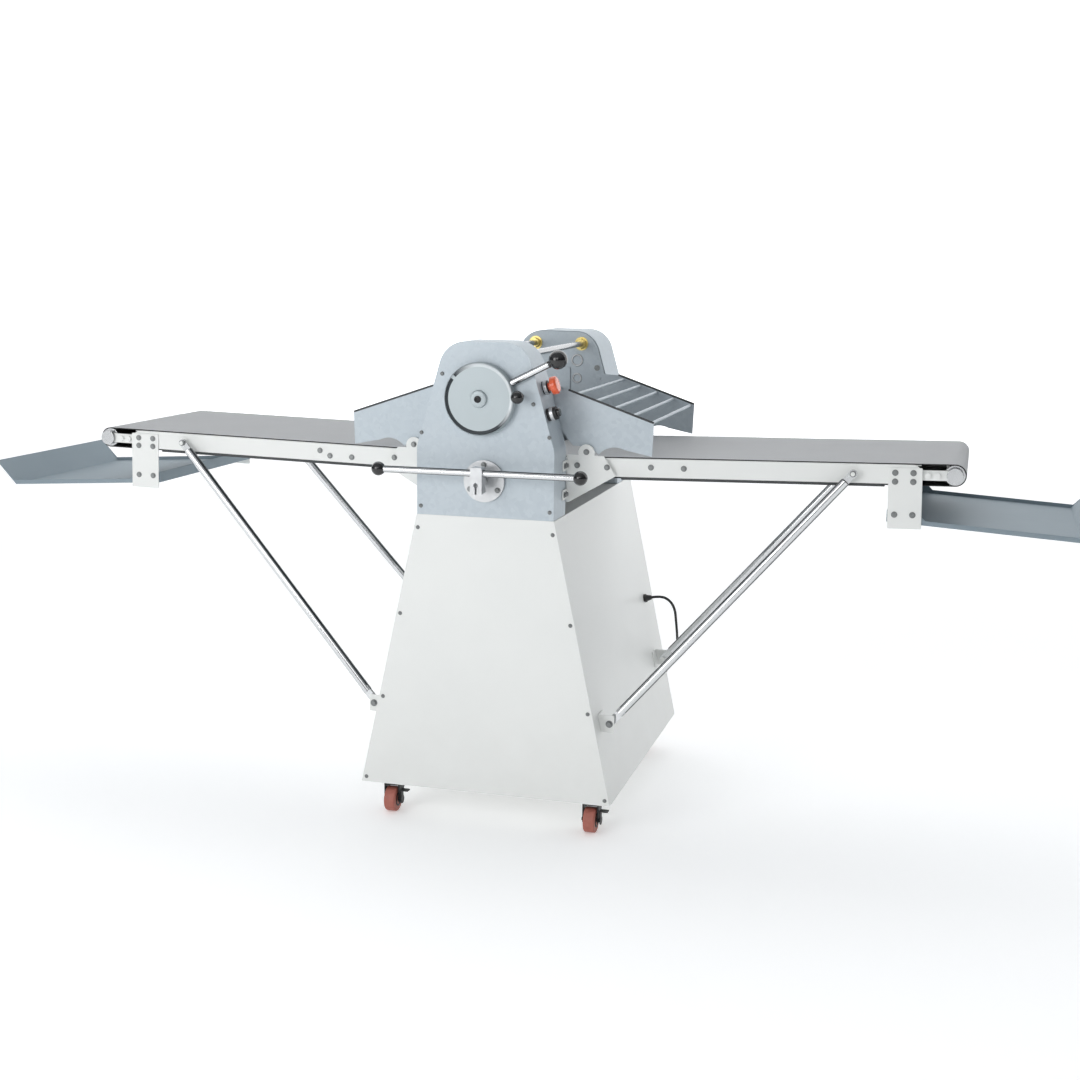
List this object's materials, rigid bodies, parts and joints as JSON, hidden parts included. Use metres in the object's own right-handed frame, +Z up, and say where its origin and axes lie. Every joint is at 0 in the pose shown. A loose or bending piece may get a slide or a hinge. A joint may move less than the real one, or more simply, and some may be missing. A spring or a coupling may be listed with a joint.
{
  "type": "dough sheeter",
  "caption": "Floor-standing reversible dough sheeter: roller head with gap dial, two folding belt tables with catch trays, struts and guards on a tapered castored base.",
  "frame": {"origin": "on the floor under the middle of the head, on the belts' centreline", "axes": "+X along the tables to the operator's right, +Y to the back, +Z up"},
  "size_m": [2.929, 1.0919, 1.235],
  "materials": {
    "white_paint": "satin powder coat",
    "galvanised": "fine galvanised sheet",
    "polished_steel": "polished",
    "brushed_steel": "brushed",
    "tray_sheet": "satin",
    "belt_cloth": "coated woven belt",
    "black_plastic": "glossy",
    "cable_rubber": "satin",
    "red_plastic": "glossy",
    "wheel_pu": "satin",
    "black_metal": "black zinc",
    "motor_paint": "painted"
  },
  "bodies": {
    "base": {"base_body": "white_paint", "base_front_panel": "white_paint", "base_rear_panel": "white_paint", "side_plates": "galvanised", "tie_rods": "polished_steel", "front_housing": "galvanised", "rear_housing": "galvanised", "roller_bearings": "brushed_steel", "lower_scraper": "brushed_steel", "wing_plates": "white_paint", "strut_brackets": "white_paint", "lever_flange": "brushed_steel", "switch_collars": "black_metal", "fasteners": "polished_steel", "drive_motor": "motor_paint", "drive_belt": "cable_rubber", "cord_gland": "cable_rubber", "power_cord": "cable_rubber", "cord_coil": "cable_rubber", "mains_plug": "cable_rubber"},
    "carriage": {"roller_carriage": "brushed_steel", "upper_scraper": "brushed_steel"},
    "upper_roller": {"upper_roller": "polished_steel"},
    "lower_roller": {"lower_roller": "polished_steel"},
    "gap_dial": {"gap_dial": "brushed_steel", "gap_handle_rod": "polished_steel", "gap_handle_knob": "black_plastic"},
    "gap_stop": {"gap_stop_knob": "black_plastic"},
    "direction_lever": {"lever_clamp": "brushed_steel", "lever_rod": "polished_steel", "lever_knobs": "black_plastic"},
    "estop_button": {"estop_button": "red_plastic"},
    "start_button": {"start_button": "black_plastic"},
    "motor_pulley": {"motor_pulley": "brushed_steel"},
    "right_table": {"right_table_frame": "white_paint", "right_belt": "belt_cloth", "right_tray_brackets": "white_paint", "right_catch_tray": "tray_sheet"},
    "right_drive_roller": {"right_drive_roller": "polished_steel"},
    "right_idler_roller": {"right_idler_roller": "polished_steel"},
    "right_guard": {"right_guard": "galvanised"},
    "right_struts": {"right_struts": "polished_steel"},
    "front_right_caster": {"front_right_caster_fork": "black_metal"},
    "front_right_wheel": {"front_right_caster_wheel": "wheel_pu"},
    "front_right_brake": {"front_right_brake_pedal": "brushed_steel"},
    "rear_right_caster": {"rear_right_caster_fork": "black_metal"},
    "rear_right_wheel": {"rear_right_caster_wheel": "wheel_pu"},
    "left_table": {"left_table_frame": "white_paint", "left_belt": "belt_cloth", "left_tray_brackets": "white_paint", "left_catch_tray": "tray_sheet"},
    "left_drive_roller": {"left_drive_roller": "polished_steel"},
    "left_idler_roller": {"left_idler_roller": "polished_steel"},
    "left_guard": {"left_guard": "galvanised"},
    "left_struts": {"left_struts": "polished_steel"},
    "front_left_caster": {"front_left_caster_fork": "black_metal"},
    "front_left_wheel": {"front_left_caster_wheel": "wheel_pu"},
    "front_left_brake": {"front_left_brake_pedal": "brushed_steel"},
    "rear_left_caster": {"rear_left_caster_fork": "black_metal"},
    "rear_left_wheel": {"rear_left_caster_wheel": "wheel_pu"}
  },
  "joints": [
    {"name": "lower_roller_spin", "type": "hinge", "parent": "base", "child": "lower_roller", "pos_m": [0, 0, 0.901], "axis": [0, 1, 0], "continuous": true},
    {"name": "gap_slide", "type": "slide", "parent": "base", "child": "carriage", "axis": [0, 0, 1], "range_m": [-0.019, 0.0305]},
    {"name": "upper_roller_spin", "type": "hinge", "parent": "carriage", "child": "upper_roller", "pos_m": [0, 0, 1.009], "axis": [0, 1, 0], "continuous": true},
    {"name": "motor_spin", "type": "hinge", "parent": "base", "child": "motor_pulley", "pos_m": [0, 0.3, 0.3], "axis": [0, 1, 0], "continuous": true},
    {"name": "gap_dial_turn", "type": "hinge", "parent": "base", "child": "gap_dial", "pos_m": [-0.01, 0, 1.098], "axis": [0, -1, 0], "range_deg": [-10, 74]},
    {"name": "gap_stop_turn", "type": "hinge", "parent": "base", "child": "gap_stop", "pos_m": [-0.01, 0, 1.098], "axis": [0, -1, 0], "range_deg": [-110, 0]},
    {"name": "direction_lever_tilt", "type": "hinge", "parent": "base", "child": "direction_lever", "pos_m": [0, 0, 0.896], "axis": [0, -1, 0], "range_deg": [-12, 12]},
    {"name": "estop_press", "type": "slide", "parent": "base", "child": "estop_button", "axis": [0.9618, 0, 0.2737], "range_m": [-0.004, 0], "stiffness_N_per_m": 400},
    {"name": "start_press", "type": "slide", "parent": "base", "child": "start_button", "axis": [0.9618, 0, 0.2737], "range_m": [-0.003, 0], "stiffness_N_per_m": 400},
    {"name": "right_table_fold", "type": "hinge", "parent": "base", "child": "right_table", "pos_m": [0.08, 0, 0.92], "axis": [0, -1, 0], "range_deg": [0, 70]},
    {"name": "right_guard_lift", "type": "hinge", "parent": "base", "child": "right_guard", "pos_m": [0.122, 0, 1.106], "axis": [0, -1, 0], "range_deg": [0, 95]},
    {"name": "right_strut_swing", "type": "hinge", "parent": "right_table", "child": "right_struts", "pos_m": [0.879, 0, 0.941], "axis": [0, -1, 0], "range_deg": [-27, 0]},
    {"name": "right_drive_roller_spin", "type": "hinge", "parent": "base", "child": "right_drive_roller", "pos_m": [0.08, 0, 0.92], "axis": [0, 1, 0], "continuous": true},
    {"name": "right_idler_spin", "type": "hinge", "parent": "right_table", "child": "right_idler_roller", "pos_m": [1.11273, 0, 0.94355], "axis": [0, 1, 0], "continuous": true},
    {"name": "front_right_caster_swivel", "type": "hinge", "parent": "base", "child": "front_right_caster", "pos_m": [0.268, -0.32, 0.09], "axis": [0, 0, 1], "continuous": true},
    {"name": "front_right_wheel_spin", "type": "hinge", "parent": "front_right_caster", "child": "front_right_wheel", "pos_m": [0.268, -0.34, 0.0325], "axis": [1, 0, 0], "continuous": true},
    {"name": "front_right_brake_press", "type": "hinge", "parent": "front_right_caster", "child": "front_right_brake", "pos_m": [0.268, -0.34, 0.0325], "axis": [1, 0, 0], "range_deg": [0, 14]},
    {"name": "rear_right_caster_swivel", "type": "hinge", "parent": "base", "child": "rear_right_caster", "pos_m": [0.248, 0.372, 0.09], "axis": [0, 0, 1], "continuous": true},
    {"name": "rear_right_wheel_spin", "type": "hinge", "parent": "rear_right_caster", "child": "rear_right_wheel", "pos_m": [0.248, 0.352, 0.0325], "axis": [1, 0, 0], "continuous": true},
    {"name": "left_table_fold", "type": "hinge", "parent": "base", "child": "left_table", "pos_m": [-0.08, 0, 0.92], "axis": [0, 1, 0], "range_deg": [0, 70]},
    {"name": "left_guard_lift", "type": "hinge", "parent": "base", "child": "left_guard", "pos_m": [-0.122, 0, 1.106], "axis": [0, 1, 0], "range_deg": [0, 95]},
    {"name": "left_strut_swing", "type": "hinge", "parent": "left_table", "child": "left_struts", "pos_m": [-0.879, 0, 0.941], "axis": [0, 1, 0], "range_deg": [-27, 0]},
    {"name": "left_drive_roller_spin", "type": "hinge", "parent": "base", "child": "left_drive_roller", "pos_m": [-0.08, 0, 0.92], "axis": [0, 1, 0], "continuous": true},
    {"name": "left_idler_spin", "type": "hinge", "parent": "left_table", "child": "left_idler_roller", "pos_m": [-1.11273, 0, 0.94355], "axis": [0, 1, 0], "continuous": true},
    {"name": "front_left_caster_swivel", "type": "hinge", "parent": "base", "child": "front_left_caster", "pos_m": [-0.268, -0.32, 0.09], "axis": [0, 0, 1], "continuous": true},
    {"name": "front_left_wheel_spin", "type": "hinge", "parent": "front_left_caster", "child": "front_left_wheel", "pos_m": [-0.268, -0.34, 0.0325], "axis": [1, 0, 0], "continuous": true},
    {"name": "front_left_brake_press", "type": "hinge", "parent": "front_left_caster", "child": "front_left_brake", "pos_m": [-0.268, -0.34, 0.0325], "axis": [1, 0, 0], "range_deg": [0, 14]},
    {"name": "rear_left_caster_swivel", "type": "hinge", "parent": "base", "child": "rear_left_caster", "pos_m": [-0.248, 0.372, 0.09], "axis": [0, 0, 1], "continuous": true},
    {"name": "rear_left_wheel_spin", "type": "hinge", "parent": "rear_left_caster", "child": "rear_left_wheel", "pos_m": [-0.248, 0.352, 0.0325], "axis": [1, 0, 0], "continuous": true}
  ],
  "couplings": [
    {"joint": "upper_roller_spin", "follows": "lower_roller_spin", "ratio": -1},
    {"joint": "motor_spin", "follows": "lower_roller_spin", "ratio": 2},
    {"joint": "gap_slide", "follows": "gap_dial_turn", "m_per_rad": 0.023228},
    {"joint": "right_guard_lift", "follows": "right_table_fold", "ratio": 1.35},
    {"joint": "right_strut_swing", "follows": "right_table_fold", "ratio": -0.372},
    {"joint": "right_drive_roller_spin", "follows": "lower_roller_spin", "ratio": 1.8333},
    {"joint": "right_idler_spin", "follows": "lower_roller_spin", "ratio": 1.8333},
    {"joint": "left_guard_lift", "follows": "left_table_fold", "ratio": 1.35},
    {"joint": "left_strut_swing", "follows": "left_table_fold", "ratio": -0.372},
    {"joint": "left_drive_roller_spin", "follows": "lower_roller_spin", "ratio": 1.8333},
    {"joint": "left_idler_spin", "follows": "lower_roller_spin", "ratio": 1.8333}
  ]
}
